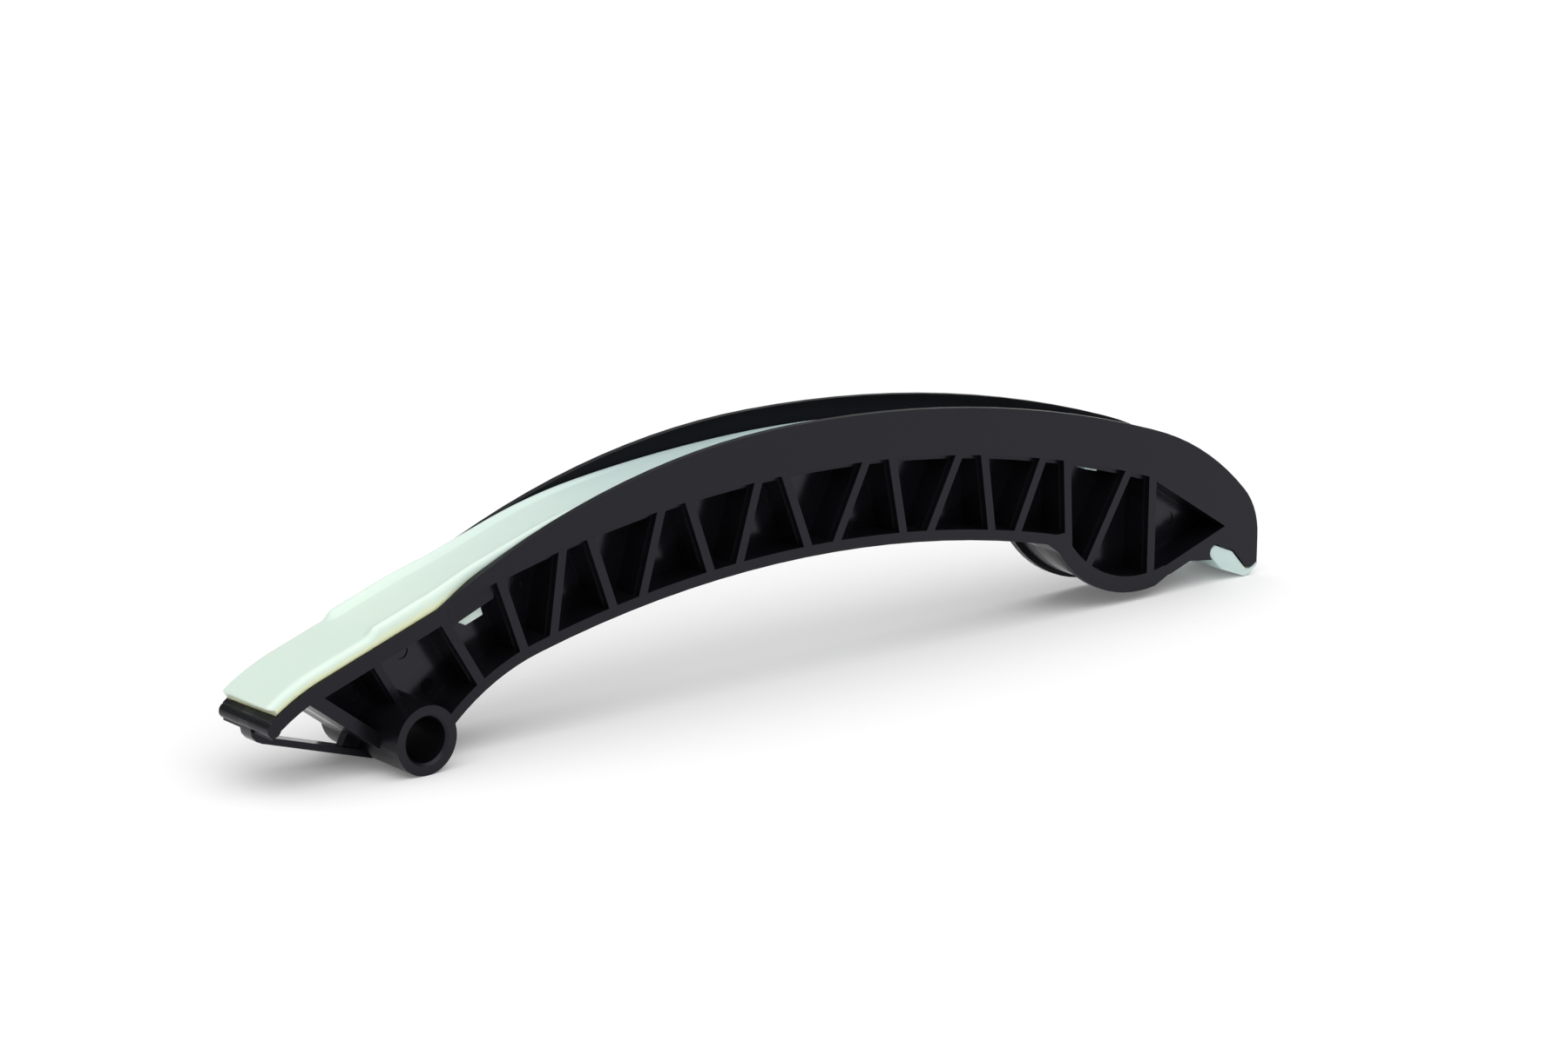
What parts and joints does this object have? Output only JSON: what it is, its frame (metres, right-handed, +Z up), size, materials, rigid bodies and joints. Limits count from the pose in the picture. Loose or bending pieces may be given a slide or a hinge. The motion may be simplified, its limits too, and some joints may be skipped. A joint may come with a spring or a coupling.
{
  "type": "timing chain guide",
  "caption": "Curved timing chain guide: a black ribbed plastic carrier with a pivot boss and side flanges, and a pale clip-on slide lining that the chain runs over.",
  "frame": {"origin": "on the axis of the pivot bore, at the middle of the carrier's width", "axes": "+X along the guide from the pivot to the exit end, +Y along the pivot axis away from the long end of the boss, +Z up through the chain's running face"},
  "size_m": [0.2279, 0.0223, 0.0466],
  "materials": {
    "carrier": "black glass-filled polyamide, moulded, satin with a fine grain",
    "lining": "natural greenish-white polyamide, moulded, smooth satin"
  },
  "bodies": {
    "root": {"carrier": "carrier", "slide_lining": "lining"}
  },
  "joints": []
}
